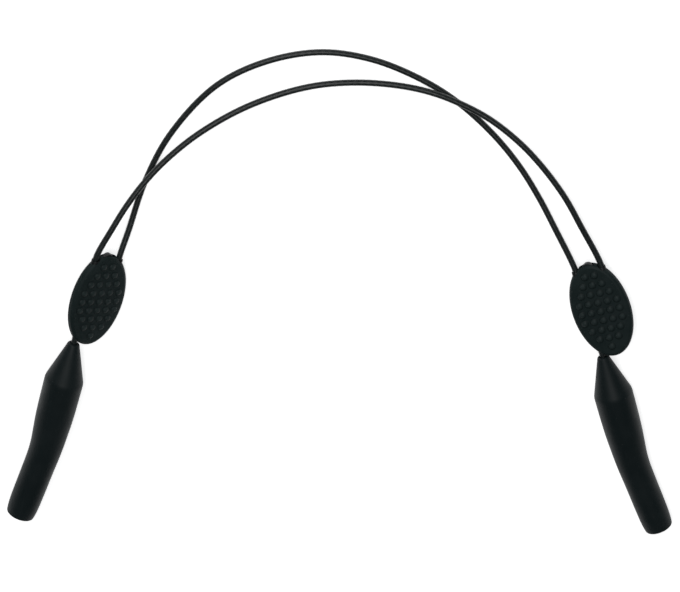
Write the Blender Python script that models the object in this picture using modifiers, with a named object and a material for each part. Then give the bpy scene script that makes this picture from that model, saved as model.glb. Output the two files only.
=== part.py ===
"""Adjustable eyeglass retainer strap made of two coated steel cables.

The strap lies on a table: +X runs from the left grip to the right grip, +Y points from the
grips to the arch behind the wearer's neck, and +Z is up. Each half has the same pieces:
an adjuster (two textured covers closed over a channel frame), a cable crimped into it, and a
hollow rubber grip for the end of a temple. Each cable starts in its own adjuster, crosses the
arch, slides through the other adjuster and ends in the grip beyond it.
"""
import bpy
import bmesh
import math
from mathutils import Matrix, Vector

MM = 0.001

# ------------------------------------------------------------------ driving dimensions
CABLE_DIAMETER = 1.7 * MM
STEEL_DIAMETER = 1.0 * MM
JACKET_WALL = 0.28 * MM
CABLE_SPACING = 4.5 * MM          # distance between the rings of a cable tube
CABLE_RESOLUTION = 2
PATH_STEPS = 40                   # points between two stations of a smoothed route

PAD_HALF_WIDTH = 8.36 * MM        # adjuster outline at the parting line, an ellipse
PAD_HALF_LENGTH = 14.4 * MM
# How far the rounded shoulder has drawn in, and its height over the parting plane.
PAD_SHOULDER = ((0.05 * MM, 0.43 * MM), (0.25 * MM, 0.90 * MM), (0.6 * MM, 1.21 * MM))
FACE_INSET = 1.1 * MM             # where the shoulder meets the face
FACE_EDGE_HEIGHT = 1.40 * MM
FACE_CROWN = 0.15 * MM            # the face rises by this much to its middle
PARTING_GAP = 0.06 * MM           # half of the gap between the two covers
BUMP_PITCH = 2.75 * MM
BUMP_RADIUS = 1.05 * MM
BUMP_HALF_HEIGHT = 0.70 * MM
BUMP_SUNK = 0.25 * MM
BUMP_TURN = math.radians(12.0)    # keeps the bumps' facets off the cover's own edges
BUMP_ROWS = (2, 3, 4, 5, 5, 5, 4, 3, 1)   # bumps in each row, from the arch end down
FACE_RINGS = (0.8, 0.55, 0.3)     # shares of the face where its crown is modelled
CHANNEL_OFFSET = 3.75 * MM        # cable axes left and right of the pad's middle

FRAME_HALF_WIDTH = 6.8 * MM
FRAME_HALF_LENGTH = 12.9 * MM
FRAME_HALF_HEIGHT = 1.1 * MM
FRAME_RIM_HALF_HEIGHT = 0.6 * MM
FRAME_CHAMFER = 1.2 * MM
FRAME_CLEARANCE = 0.1 * MM
SEAT_RADIUS = 1.2 * MM            # grooves for the sleeve and the anchor ferrule
CABLE_HOLE_RADIUS = 0.97 * MM
SLEEVE_RADIUS = 1.1 * MM
SLEEVE_BORE_RADIUS = 0.95 * MM
SLEEVE_HALF_LENGTH = 7.2 * MM
SLEEVE_LEAD = (0.08 * MM, 0.4 * MM)   # the lead-in at its ends, across and along
SEAT_SHOULDER = 7.6 * MM          # the sleeve seat ends this far from the pad's middle
ANCHOR_SHOULDER = 6.2 * MM        # the anchor ferrule pulls up against this shoulder
ANCHOR_GAP = 0.1 * MM
COLLAR_RADIUS = 1.15 * MM
COLLAR_START = 7.7 * MM
COLLAR_END = 12.7 * MM
TAB_HALF_WIDTH = 1.9 * MM
TAB_HALF_HEIGHT = 0.8 * MM
TAB_END = 14.55 * MM
TAB_ROUND = 2.6 * MM              # length of the tab's round end
TAB_SIDES = 24
PEG_OFFSET = 7.2 * MM
PEG_RADIUS = 0.62 * MM
PEG_REACH = 1.0 * MM              # how far a peg stands past the parting plane
SOCKET_BORE_RADIUS = 0.75 * MM
SOCKET_RADIUS = 1.25 * MM
SOCKET_START = 0.4 * MM
ROOF_BITE = 0.1 * MM              # pegs and sockets run into the cover's roof by this much
PEG_HOLE_RADIUS = 1.42 * MM
CUT_MARGIN = 1.0 * MM             # cutters run past the surfaces that they open
SHARP_ANGLE = math.radians(32.0)  # edges sharper than this stay crisp

FERRULE_RADIUS = 1.12 * MM
FERRULE_BORE_RADIUS = 0.9 * MM
FERRULE_LENGTH = 7.0 * MM
CRIMP_PLACES = (0.3, 0.7)         # shares of the ferrule's length
CRIMP_DEPTH = 0.1 * MM
CRIMP_HALF_LENGTH = 0.4 * MM
GRIP_FERRULE_RADIUS = 1.5 * MM
GRIP_FERRULE_START = 8.8 * MM     # distance from the grip's tip

GRIP_BEND_START = 31.0 * MM
GRIP_BEND_END = 38.0 * MM
GRIP_BEND = math.radians(6.0)
GRIP_RESOLUTION = 8
# Distance from the tip and outer diameter, both in millimetres.
GRIP_PROFILE = (
    (0.0, 2.8), (0.4, 3.45), (11.7, 10.98), (12.4, 11.06), (19.0, 10.9), (25.0, 10.54),
    (29.0, 10.0), (33.0, 9.46), (37.0, 9.12), (43.0, 8.94), (50.0, 8.84), (53.5, 8.7),
    (56.0, 8.25), (57.3, 7.5),
)
GRIP_LENGTH = GRIP_PROFILE[-1][0] * MM
TEMPLE_BORE_RADIUS = 2.7 * MM
TEMPLE_BORE_START = 16.4 * MM
TEMPLE_BORE_RESOLUTION = 6
FERRULE_POCKET_RADIUS = 1.75 * MM
FERRULE_POCKET_START = 8.4 * MM
TIP_HOLE_RADIUS = 1.1 * MM
TIP_GAP = 14.0 * MM               # grip tip below the adjuster's middle, along the channel
BORE_STEP = 0.4 * MM

# ------------------------------------------------------------------ layout
LEFT_CENTRE = Vector((-67.64, 29.38, 5.25)) * MM
LEFT_TILT, LEFT_PITCH, LEFT_ROLL = (math.radians(a) for a in (-14.9, 2.9, 32.4))
RIGHT_CENTRE = Vector((72.93, 26.69, 6.23)) * MM
RIGHT_TILT, RIGHT_PITCH, RIGHT_ROLL = (math.radians(a) for a in (18.0, -1.9, -11.4))
LEFT_GRIP_TILT, LEFT_GRIP_PITCH = math.radians(-15.0), math.radians(2.1)
RIGHT_GRIP_TILT, RIGHT_GRIP_PITCH = math.radians(15.6), math.radians(1.5)
ARCH_CENTRE = Vector((2.3, 28.4, 0.0)) * MM

# Where each cable is held: distances along the channel in its own adjuster, from the anchor
# ferrule out; then in the other adjuster, from the arch end in; then along the grip's axis.
OWN_STATIONS = (ANCHOR_SHOULDER - FERRULE_LENGTH, 5.0 * MM, 10.0 * MM, 14.0 * MM)
OTHER_STATIONS = tuple(y * MM for y in (14.0, 10.0, 5.0, -5.0, -10.0, -12.5))
GRIP_STATIONS = (2.0 * MM, 5.0 * MM, 10.0 * MM, GRIP_FERRULE_START + FERRULE_LENGTH)

# The free stretch of each cable between the two adjusters, in millimetres.
CABLE_A_ROUTE = (
    (-58.45, 49.2, 2.9), (-53.75, 63.0, 1.4), (-46.5, 76.9, 0.90), (-33.8, 91.0, 0.88),
    (-20.2, 98.0, 0.88), (-5.3, 100.75, 0.88), (8.3, 98.8, 0.88), (21.5, 93.3, 0.88),
    (32.1, 86.4, 0.90), (42.0, 77.1, 1.2), (49.3, 68.1, 2.0), (54.9, 59.1, 3.0), (59.6, 50.1, 4.1),
)
CABLE_B_ROUTE = (
    (-62.85, 51.15, 7.3), (-58.6, 57.9, 6.3), (-53.55, 64.4, 5.0), (-47.15, 70.9, 3.7),
    (-38.9, 77.45, 2.5), (-27.6, 84.0, 1.3), (-16.2, 88.6, 0.90), (-5.8, 91.2, 0.88),
    (5.6, 92.0, 1.0), (16.8, 91.35, 1.9), (25.2, 89.7, 2.8), (32.1, 87.05, 3.1),
    (40.75, 82.5, 3.7), (48.9, 76.1, 4.5), (55.2, 69.4, 5.1), (61.8, 60.4, 5.8), (66.9, 51.1, 6.3),
)


# ------------------------------------------------------------------ scene and materials
def clear_scene():
    for obj in list(bpy.data.objects):
        bpy.data.objects.remove(obj, do_unlink=True)


def new_collection(name):
    collection = bpy.data.collections.new(name)
    bpy.context.scene.collection.children.link(collection)
    return collection


def make_material(name, colour, roughness, metallic=0.0):
    material = bpy.data.materials.new(name)
    material.use_nodes = True
    shader = material.node_tree.nodes["Principled BSDF"]
    shader.inputs["Base Color"].default_value = (*colour, 1.0)
    shader.inputs["Roughness"].default_value = roughness
    shader.inputs["Metallic"].default_value = metallic
    material.diffuse_color = (*colour, 1.0)
    return material


# ------------------------------------------------------------------ modelling helpers
def add_object(name, mesh, collection):
    obj = bpy.data.objects.new(name, mesh)
    collection.objects.link(obj)
    return obj


def mesh_from(build):
    """A new mesh filled by build(bm)."""
    bm = bmesh.new()
    build(bm)
    bmesh.ops.recalc_face_normals(bm, faces=bm.faces)
    mesh = bpy.data.meshes.new("working")
    bm.to_mesh(mesh)
    bm.free()
    return mesh


def evaluated_mesh(obj):
    """The mesh that the object shows with its modifiers; the object is removed."""
    graph = bpy.context.evaluated_depsgraph_get()
    graph.update()
    mesh = bpy.data.meshes.new_from_object(obj.evaluated_get(graph))
    bpy.data.objects.remove(obj, do_unlink=True)
    return mesh


def add_ellipse_loft(bm, sections, segments=40):
    """A closed body through level ellipses, each (half width, half length, height)."""
    rings = []
    for half_width, half_length, height in sections:
        ring = bmesh.ops.create_circle(bm, segments=segments, radius=1.0)["verts"]
        for vert in ring:
            vert.co = Vector((vert.co.x * half_width, vert.co.y * half_length, height))
        rings.append(ring)
    for lower, upper in zip(rings, rings[1:]):
        for i in range(segments):
            j = (i + 1) % segments
            bm.faces.new((lower[i], lower[j], upper[j], upper[i]))
    bm.faces.new(rings[0])
    bm.faces.new(rings[-1])


def add_box(bm, low, high):
    low, high = Vector(low), Vector(high)
    place = Matrix.Translation((low + high) / 2) @ Matrix.Diagonal((*(high - low), 1.0))
    bmesh.ops.create_cube(bm, size=1.0, matrix=place)


def add_rod(bm, start, end, radius, segments=16):
    """A cylinder between two points."""
    start, end = Vector(start), Vector(end)
    turn = (end - start).to_track_quat("Z", "Y").to_matrix().to_4x4()
    bmesh.ops.create_cone(
        bm, cap_ends=True, segments=segments, radius1=radius, radius2=radius,
        depth=(end - start).length, matrix=Matrix.Translation((start + end) / 2) @ turn)


def combine(base, steps):
    """Apply Boolean steps, each (operation, mesh), to the base mesh in turn."""
    collection = bpy.context.scene.collection
    target = add_object("target", base, collection)
    tools = []
    for operation, mesh in steps:
        tool = add_object("tool", mesh, collection)
        tools.append(tool)
        modifier = target.modifiers.new(operation.lower(), "BOOLEAN")
        modifier.operation = operation
        modifier.solver = "EXACT"
        modifier.object = tool
    mesh = evaluated_mesh(target)
    for tool in tools:
        bpy.data.objects.remove(tool, do_unlink=True)
    return mesh


def turned_tube(bore_radius, outline, segments=14):
    """A tube about Y: outline lists (radius, y) down its outer side."""
    points = list(outline)
    points += [(bore_radius, outline[-1][1]), (bore_radius, outline[0][1])]

    def build(bm):
        verts = [bm.verts.new((radius, 0.0, y)) for radius, y in points]
        for i, vert in enumerate(verts):
            bm.edges.new((vert, verts[(i + 1) % len(verts)]))
    profile = mesh_from(build)
    obj = add_object("turned", profile, bpy.context.scene.collection)
    screw = obj.modifiers.new("turn", "SCREW")
    screw.angle = math.tau
    screw.steps = segments
    screw.render_steps = segments
    screw.use_merge_vertices = True
    screw.merge_threshold = 1e-6
    mesh = evaluated_mesh(obj)
    mesh.transform(Matrix.Rotation(-math.pi / 2, 4, "X"))
    return mesh


def tube_mesh(points, radii, resolution, capped=True):
    """A mesh tube along points, with a radius at each."""
    curve = bpy.data.curves.new("tube", "CURVE")
    curve.dimensions = "3D"
    curve.bevel_depth = 1.0
    curve.bevel_resolution = resolution
    curve.use_fill_caps = capped
    spline = curve.splines.new("POLY")
    spline.points.add(len(points) - 1)
    for point, place, radius in zip(spline.points, points, radii):
        point.co = (*place, 1.0)
        point.radius = radius
    mesh = evaluated_mesh(add_object("tube", curve, bpy.context.scene.collection))
    bm = bmesh.new()
    bm.from_mesh(mesh)
    bmesh.ops.remove_doubles(bm, verts=bm.verts, dist=1e-6)
    bmesh.ops.recalc_face_normals(bm, faces=bm.faces)
    bm.to_mesh(mesh)
    bm.free()
    return mesh


def smooth_path(points, spacing):
    """Evenly spaced points on a Catmull-Rom curve through the given ones."""
    ends = [2 * points[0] - points[1]] + list(points) + [2 * points[-1] - points[-2]]
    dense = []
    for p0, p1, p2, p3 in zip(ends, ends[1:], ends[2:], ends[3:]):
        knots = [0.0]
        for a, b in ((p0, p1), (p1, p2), (p2, p3)):
            knots.append(knots[-1] + math.sqrt((b - a).length))
        t0, t1, t2, t3 = knots
        for step in range(PATH_STEPS):
            t = t1 + (t2 - t1) * step / PATH_STEPS
            a1 = p0.lerp(p1, (t - t0) / (t1 - t0))
            a2 = p1.lerp(p2, (t - t1) / (t2 - t1))
            a3 = p2.lerp(p3, (t - t2) / (t3 - t2))
            b1 = a1.lerp(a2, (t - t0) / (t2 - t0))
            b2 = a2.lerp(a3, (t - t1) / (t3 - t1))
            dense.append(b1.lerp(b2, (t - t1) / (t2 - t1)))
    dense.append(points[-1].copy())
    lengths = [0.0]
    for a, b in zip(dense, dense[1:]):
        lengths.append(lengths[-1] + (b - a).length)
    count = max(2, round(lengths[-1] / spacing))
    path = []
    k = 0
    for i in range(count + 1):
        wanted = lengths[-1] * i / count
        while k < len(dense) - 2 and lengths[k + 1] < wanted:
            k += 1
        share = (wanted - lengths[k]) / (lengths[k + 1] - lengths[k])
        path.append(dense[k].lerp(dense[k + 1], min(1.0, share)))
    return path


# ------------------------------------------------------------------ adjuster pieces
def crown_height(x, y):
    """Height of a cover's smooth face above the parting plane."""
    across = (x / (PAD_HALF_WIDTH - FACE_INSET)) ** 2
    along = (y / (PAD_HALF_LENGTH - FACE_INSET)) ** 2
    return FACE_EDGE_HEIGHT + FACE_CROWN * (1.0 - across - along)


def frame_sections(clearance=0.0):
    """The channel frame's body: a slab with chamfered faces."""
    rim_width = FRAME_HALF_WIDTH + clearance
    rim_length = FRAME_HALF_LENGTH + clearance
    top = FRAME_HALF_HEIGHT + clearance
    rim = FRAME_RIM_HALF_HEIGHT + clearance
    inner = (rim_width - FRAME_CHAMFER, rim_length - FRAME_CHAMFER)
    return (
        (*inner, -top), (rim_width, rim_length, -rim), (rim_width, rim_length, rim), (*inner, top))


def cover_body(bm):
    edge = ((0.0, PARTING_GAP), *PAD_SHOULDER, (FACE_INSET, FACE_EDGE_HEIGHT))
    sections = [(PAD_HALF_WIDTH - inset, PAD_HALF_LENGTH - inset, z) for inset, z in edge]
    width, length, _ = sections[-1]
    for share in FACE_RINGS:
        sections.append((share * width, share * length, crown_height(share * width, 0.0)))
    add_ellipse_loft(bm, sections)


def bumps(bm):
    middle = len(BUMP_ROWS) // 2
    for row, count in enumerate(BUMP_ROWS):
        y = (middle - row) * BUMP_PITCH
        for i in range(count):
            x = (i - (count - 1) / 2) * BUMP_PITCH
            place = Matrix.Translation((x, y, crown_height(x, y) - BUMP_SUNK))
            squash = Matrix.Diagonal((1.0, 1.0, BUMP_HALF_HEIGHT / BUMP_RADIUS, 1.0))
            squash = squash @ Matrix.Rotation(BUMP_TURN, 4, "Z")
            bmesh.ops.create_uvsphere(
                bm, u_segments=6, v_segments=4, radius=BUMP_RADIUS, matrix=place @ squash)


def cover_hollow(bm):
    add_ellipse_loft(bm, frame_sections(FRAME_CLEARANCE))


def cable_entries(channel_side):
    """Holes in the cover walls: the channel runs right through, the anchor hole doesn't."""
    def build(bm):
        channel = channel_side * CHANNEL_OFFSET
        reach = PAD_HALF_LENGTH + CUT_MARGIN
        collar_hole = COLLAR_RADIUS + FRAME_CLEARANCE
        start = COLLAR_START - FRAME_CLEARANCE
        add_rod(bm, (channel, -reach, 0), (channel, -start, 0), CABLE_HOLE_RADIUS)
        add_rod(bm, (channel, start, 0), (channel, reach, 0), collar_hole)
        add_rod(bm, (-channel, start, 0), (-channel, reach, 0), collar_hole)
    return build


def tab_slot(bm):
    half_width = TAB_HALF_WIDTH + FRAME_CLEARANCE
    half_height = TAB_HALF_HEIGHT + FRAME_CLEARANCE
    low = (-half_width, TAB_END - 2 * TAB_ROUND + FRAME_CHAMFER, -half_height)
    high = (half_width, PAD_HALF_LENGTH + CUT_MARGIN, half_height)
    add_box(bm, low, high)


def peg_rods(radius, low, high):
    def build(bm):
        for y in (-PEG_OFFSET, PEG_OFFSET):
            add_rod(bm, (0, y, low), (0, y, high), radius)
    return build


def cover_mesh(is_front):
    """A cover with its face up; the back cover is this one turned over about Y."""
    channel_side = -1 if is_front else 1
    ceiling = FRAME_HALF_HEIGHT + FRAME_CLEARANCE
    root = ceiling + ROOF_BITE
    steps = [
        ("UNION", mesh_from(bumps)),
        ("DIFFERENCE", mesh_from(cover_hollow)),
        ("DIFFERENCE", mesh_from(tab_slot)),
        ("DIFFERENCE", mesh_from(cable_entries(channel_side))),
    ]
    if is_front:
        sockets = peg_rods(SOCKET_RADIUS, SOCKET_START, root)
        bores = peg_rods(SOCKET_BORE_RADIUS, -CUT_MARGIN, ceiling)
        steps += [("UNION", mesh_from(sockets)), ("DIFFERENCE", mesh_from(bores))]
    else:
        steps.append(("UNION", mesh_from(peg_rods(PEG_RADIUS, -PEG_REACH, root))))
    return combine(mesh_from(cover_body), steps)


def channel_frame_mesh():
    def collars(bm):
        for x in (-CHANNEL_OFFSET, CHANNEL_OFFSET):
            add_rod(bm, (x, COLLAR_START, 0), (x, COLLAR_END, 0), COLLAR_RADIUS)

    def tab(bm):
        low, high = (0, 0, -TAB_HALF_HEIGHT), (0, 0, TAB_HALF_HEIGHT)
        add_rod(bm, low, high, TAB_ROUND, TAB_SIDES)
        for vert in bm.verts:
            vert.co.x *= TAB_HALF_WIDTH / TAB_ROUND
            vert.co.y += TAB_END - TAB_ROUND

    def seats(bm):
        bottom = -FRAME_HALF_LENGTH - CUT_MARGIN
        add_rod(bm, (-CHANNEL_OFFSET, bottom, 0), (-CHANNEL_OFFSET, SEAT_SHOULDER, 0), SEAT_RADIUS)
        add_rod(bm, (CHANNEL_OFFSET, bottom, 0), (CHANNEL_OFFSET, ANCHOR_SHOULDER, 0), SEAT_RADIUS)

    def cable_holes(bm):
        for x in (-CHANNEL_OFFSET, CHANNEL_OFFSET):
            add_rod(bm, (x, 0, 0), (x, COLLAR_END + CUT_MARGIN, 0), CABLE_HOLE_RADIUS)

    through = FRAME_HALF_HEIGHT + CUT_MARGIN
    steps = [
        ("UNION", mesh_from(collars)),
        ("UNION", mesh_from(tab)),
        ("DIFFERENCE", mesh_from(seats)),
        ("DIFFERENCE", mesh_from(cable_holes)),
        ("DIFFERENCE", mesh_from(peg_rods(PEG_HOLE_RADIUS, -through, through))),
    ]
    return combine(mesh_from(lambda bm: add_ellipse_loft(bm, frame_sections())), steps)


def sleeve_mesh():
    end = SLEEVE_HALF_LENGTH
    across, along = SLEEVE_LEAD
    return turned_tube(SLEEVE_BORE_RADIUS, (
        (SLEEVE_RADIUS - across, end), (SLEEVE_RADIUS, end - along),
        (SLEEVE_RADIUS, along - end), (SLEEVE_RADIUS - across, -end)))


def ferrule_mesh(radius):
    """A crimp ferrule from y = 0 down, with two pressed grooves."""
    outline = [(radius, 0.0)]
    for groove in CRIMP_PLACES:
        middle = -groove * FERRULE_LENGTH
        outline += [
            (radius, middle + 2 * CRIMP_HALF_LENGTH),
            (radius - CRIMP_DEPTH, middle + CRIMP_HALF_LENGTH),
            (radius - CRIMP_DEPTH, middle - CRIMP_HALF_LENGTH),
            (radius, middle - 2 * CRIMP_HALF_LENGTH)]
    outline.append((radius, -FERRULE_LENGTH))
    return turned_tube(FERRULE_BORE_RADIUS, outline)


# ------------------------------------------------------------------ grip
def grip_axis(distance):
    """A point of the grip's axis, measured from the tip; it bends towards -X."""
    bent = min(max(distance - GRIP_BEND_START, 0.0), GRIP_BEND_END - GRIP_BEND_START)
    rate = GRIP_BEND / (GRIP_BEND_END - GRIP_BEND_START)
    angle = rate * bent
    x = -(1.0 - math.cos(angle)) / rate
    y = -min(distance, GRIP_BEND_START) - math.sin(angle) / rate
    beyond = max(distance - GRIP_BEND_END, 0.0)
    return Vector((x - beyond * math.sin(angle), y - beyond * math.cos(angle), 0.0))


def grip_mesh():
    distances = [row[0] * MM for row in GRIP_PROFILE]
    radii = [row[1] * MM / 2 for row in GRIP_PROFILE]
    body = tube_mesh([grip_axis(d) for d in distances], radii, GRIP_RESOLUTION)
    bore = (
        (-CUT_MARGIN, TIP_HOLE_RADIUS), (FERRULE_POCKET_START - BORE_STEP, TIP_HOLE_RADIUS),
        (FERRULE_POCKET_START, FERRULE_POCKET_RADIUS),
        (TEMPLE_BORE_START - BORE_STEP, FERRULE_POCKET_RADIUS),
        (TEMPLE_BORE_START, TEMPLE_BORE_RADIUS), (GRIP_BEND_START, TEMPLE_BORE_RADIUS),
        (0.5 * (GRIP_BEND_START + GRIP_BEND_END), TEMPLE_BORE_RADIUS),
        (GRIP_BEND_END, TEMPLE_BORE_RADIUS), (GRIP_LENGTH + CUT_MARGIN, TEMPLE_BORE_RADIUS))
    points = [grip_axis(d) for d, _ in bore]
    cutter = tube_mesh(points, [radius for _, radius in bore], TEMPLE_BORE_RESOLUTION)
    return combine(body, [("DIFFERENCE", cutter)])


# ------------------------------------------------------------------ assembly
class Builder:
    """Places named copies of the shared meshes in the strap's collection."""

    def __init__(self):
        self.collection = new_collection("eyeglass_retainer_strap")
        self.rubber = make_material("pad_rubber", (0.016, 0.021, 0.022), 0.55)
        self.grip_rubber = make_material("grip_rubber", (0.009, 0.014, 0.015), 0.62)
        self.nylon = make_material("frame_nylon", (0.008, 0.009, 0.010), 0.45)
        self.sleeve = make_material("sleeve_elastomer", (0.03, 0.03, 0.032), 0.7)
        self.steel = make_material("stainless_steel", (0.55, 0.56, 0.57), 0.3, 1.0)
        self.jacket = make_material("cable_coating", (0.015, 0.020, 0.020), 0.35)

    def empty(self, name, matrix, parent=None):
        obj = bpy.data.objects.new(name, None)
        self.collection.objects.link(obj)
        obj.parent = parent
        obj.matrix_world = matrix
        return obj

    def place(self, name, mesh, material, parent=None, local=None):
        mesh = mesh.copy()
        mesh.name = name
        mesh.materials.clear()
        mesh.materials.append(material)
        mesh.shade_smooth()
        mesh.set_sharp_from_angle(angle=SHARP_ANGLE)
        obj = add_object(name, mesh, self.collection)
        obj.parent = parent
        obj.matrix_local = local or Matrix.Identity(4)
        return obj


def adjuster_matrix(centre, tilt, pitch, roll):
    turn = (Matrix.Rotation(tilt, 4, "Z") @ Matrix.Rotation(pitch, 4, "X")
            @ Matrix.Rotation(roll, 4, "Y"))
    return Matrix.Translation(centre) @ turn


def grip_matrix(adjuster, tilt, pitch, bend_side):
    """A grip's frame at its tip; bend_side is -1 where it bends towards -X."""
    tip = adjuster @ Vector((-CHANNEL_OFFSET, -TIP_GAP, 0.0))
    turn = Matrix.Rotation(tilt, 4, "Z") @ Matrix.Rotation(pitch, 4, "X")
    if bend_side > 0:
        turn = turn @ Matrix.Rotation(math.pi, 4, "Y")
    return Matrix.Translation(tip) @ turn


def cable_path(own, route, other, grip):
    """From the anchor in its own adjuster to the ferrule in the far grip."""
    points = [own @ Vector((CHANNEL_OFFSET, y, 0.0)) for y in OWN_STATIONS]
    points += [Vector(p) * MM for p in route]
    points += [other @ Vector((-CHANNEL_OFFSET, y, 0.0)) for y in OTHER_STATIONS]
    points += [grip @ grip_axis(d) for d in GRIP_STATIONS]
    return smooth_path(points, CABLE_SPACING)


def add_cable(builder, letter, path):
    radii = [CABLE_DIAMETER / 2] * len(path)
    tube = tube_mesh(path, radii, CABLE_RESOLUTION, capped=False)
    jacket = builder.place(f"cable_{letter}_jacket", tube, builder.jacket)
    wall = jacket.modifiers.new("wall", "SOLIDIFY")
    wall.thickness = JACKET_WALL
    wall.offset = -1.0
    core = tube_mesh(path, [STEEL_DIAMETER / 2] * len(path), CABLE_RESOLUTION)
    builder.place(f"cable_{letter}_core", core, builder.steel)


def add_half(builder, meshes, side, parent, adjuster, grip):
    frame = builder.empty(f"{side}_adjuster_frame", adjuster, parent)
    over = Matrix.Rotation(math.pi, 4, "Y")
    builder.place(f"{side}_front_cover", meshes["front_cover"], builder.rubber, frame)
    builder.place(f"{side}_back_cover", meshes["back_cover"], builder.rubber, frame, over)
    builder.place(f"{side}_channel_frame", meshes["channel_frame"], builder.nylon, frame)
    channel = Matrix.Translation((-CHANNEL_OFFSET, 0, 0))
    builder.place(f"{side}_friction_sleeve", meshes["sleeve"], builder.sleeve, frame, channel)
    anchor = Matrix.Translation((CHANNEL_OFFSET, ANCHOR_SHOULDER - ANCHOR_GAP, 0))
    builder.place(f"{side}_anchor_ferrule", meshes["anchor"], builder.steel, frame, anchor)
    tip = builder.empty(f"{side}_grip_frame", grip, parent)
    builder.place(f"{side}_temple_grip", meshes["grip"], builder.grip_rubber, tip)
    seat = Matrix.Translation((0, -GRIP_FERRULE_START, 0))
    builder.place(f"{side}_grip_ferrule", meshes["grip_ferrule"], builder.steel, tip, seat)


def main():
    clear_scene()
    builder = Builder()
    meshes = {
        "front_cover": cover_mesh(True),
        "back_cover": cover_mesh(False),
        "channel_frame": channel_frame_mesh(),
        "sleeve": sleeve_mesh(),
        "anchor": ferrule_mesh(FERRULE_RADIUS),
        "grip": grip_mesh(),
        "grip_ferrule": ferrule_mesh(GRIP_FERRULE_RADIUS),
    }
    left = adjuster_matrix(LEFT_CENTRE, LEFT_TILT, LEFT_PITCH, LEFT_ROLL)
    right = adjuster_matrix(RIGHT_CENTRE, RIGHT_TILT, RIGHT_PITCH, RIGHT_ROLL)
    left_grip = grip_matrix(left, LEFT_GRIP_TILT, LEFT_GRIP_PITCH, -1)
    right_grip = grip_matrix(right, RIGHT_GRIP_TILT, RIGHT_GRIP_PITCH, 1)
    pivot = builder.empty("arch_pivot", Matrix.Translation(ARCH_CENTRE))
    bpy.context.view_layer.update()
    add_half(builder, meshes, "left", None, left, left_grip)
    add_half(builder, meshes, "right", pivot, right, right_grip)
    add_cable(builder, "a", cable_path(left, CABLE_A_ROUTE, right, right_grip))
    add_cable(builder, "b", cable_path(right, CABLE_B_ROUTE[::-1], left, left_grip))


main()
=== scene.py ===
"""Looks of the adjustable eyeglass retainer strap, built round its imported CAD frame.

Every size is in metres. The adjusters and grips stand in their own frames, read from the
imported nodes: +Y points to the arch, +X runs from the sliding channel to the anchored cable.
"""
import math

import bmesh
import bpy
import numpy as np
from mathutils import Matrix, Vector


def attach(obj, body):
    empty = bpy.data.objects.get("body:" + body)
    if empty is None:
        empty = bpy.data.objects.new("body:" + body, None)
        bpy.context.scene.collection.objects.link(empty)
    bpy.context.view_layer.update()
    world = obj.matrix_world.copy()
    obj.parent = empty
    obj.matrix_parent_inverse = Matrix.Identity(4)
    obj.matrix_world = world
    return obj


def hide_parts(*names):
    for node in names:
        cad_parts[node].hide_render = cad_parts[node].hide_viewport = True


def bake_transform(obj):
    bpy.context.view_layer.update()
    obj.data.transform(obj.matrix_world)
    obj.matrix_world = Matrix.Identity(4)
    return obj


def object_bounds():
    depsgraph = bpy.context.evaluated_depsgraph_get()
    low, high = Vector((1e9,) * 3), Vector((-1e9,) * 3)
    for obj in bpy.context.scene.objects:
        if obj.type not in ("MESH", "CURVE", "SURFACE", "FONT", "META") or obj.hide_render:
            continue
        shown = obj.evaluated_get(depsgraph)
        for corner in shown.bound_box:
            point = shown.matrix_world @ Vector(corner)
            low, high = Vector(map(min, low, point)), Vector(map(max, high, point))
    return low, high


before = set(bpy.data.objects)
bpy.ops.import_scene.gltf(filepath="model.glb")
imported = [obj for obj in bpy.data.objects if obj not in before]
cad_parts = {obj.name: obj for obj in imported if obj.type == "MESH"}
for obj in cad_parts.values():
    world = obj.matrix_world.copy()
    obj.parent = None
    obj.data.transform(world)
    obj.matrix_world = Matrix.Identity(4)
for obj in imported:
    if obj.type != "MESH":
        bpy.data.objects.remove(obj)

CAD_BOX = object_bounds()
MM = 0.001

# ------------------------------------------------------------------ camera
VIEW_WIDTH = 190.4 * MM           # what the camera takes in across the table
LENS = 200.0
SENSOR = 36.0
VIEW_LEAN = math.asin(0.40)       # the camera leans from straight above towards the arch
VIEW_TARGET = Vector((0.09, 28.01, 0.0)) * MM
CLIP_START = 0.05
CLIP_END = 20.0

# ------------------------------------------------------------------ floor and lights
FLOOR_RADIUS = 4.0
FLOOR_DROP = 0.05 * MM
FLOOR_GLOW = 0.68
WORLD_STRENGTH = 0.10
# Name, place, size and power of each light.
LIGHTS = (("key", (-0.28, 0.75, 0.90), 0.35, 3.8), ("overhead", (0.0, 0.22, 1.1), 0.5, 4.0))

# ------------------------------------------------------------------ sizes shared with the CAD
CABLE_RADIUS = 0.85 * MM
JACKET_BORE_RADIUS = 0.57 * MM
STEEL_RADIUS = 0.5 * MM
PAD_HALF_WIDTH = 8.36 * MM
PAD_HALF_LENGTH = 14.4 * MM
PAD_SHOULDER = ((0.05 * MM, 0.43 * MM), (0.25 * MM, 0.90 * MM), (0.6 * MM, 1.21 * MM))
FACE_INSET = 1.1 * MM
FACE_EDGE_HEIGHT = 1.40 * MM
FACE_CROWN = 0.15 * MM
PARTING_GAP = 0.06 * MM
BUMP_PITCH = 2.75 * MM
BUMP_ROWS = (2, 3, 4, 5, 5, 5, 4, 3, 1)
BUMP_RADIUS = 1.05 * MM
BUMP_HALF_HEIGHT = 0.70 * MM
BUMP_SUNK = 0.25 * MM
CHANNEL_OFFSET = 3.75 * MM
FRAME_HALF_WIDTH = 6.8 * MM
FRAME_HALF_LENGTH = 12.9 * MM
FRAME_HALF_HEIGHT = 1.1 * MM
FRAME_RIM_HALF_HEIGHT = 0.6 * MM
FRAME_CHAMFER = 1.2 * MM
FRAME_CLEARANCE = 0.1 * MM
PEG_REACH = 1.0 * MM
SOCKET_START = 0.4 * MM
ROOF_BITE = 0.1 * MM
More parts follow.
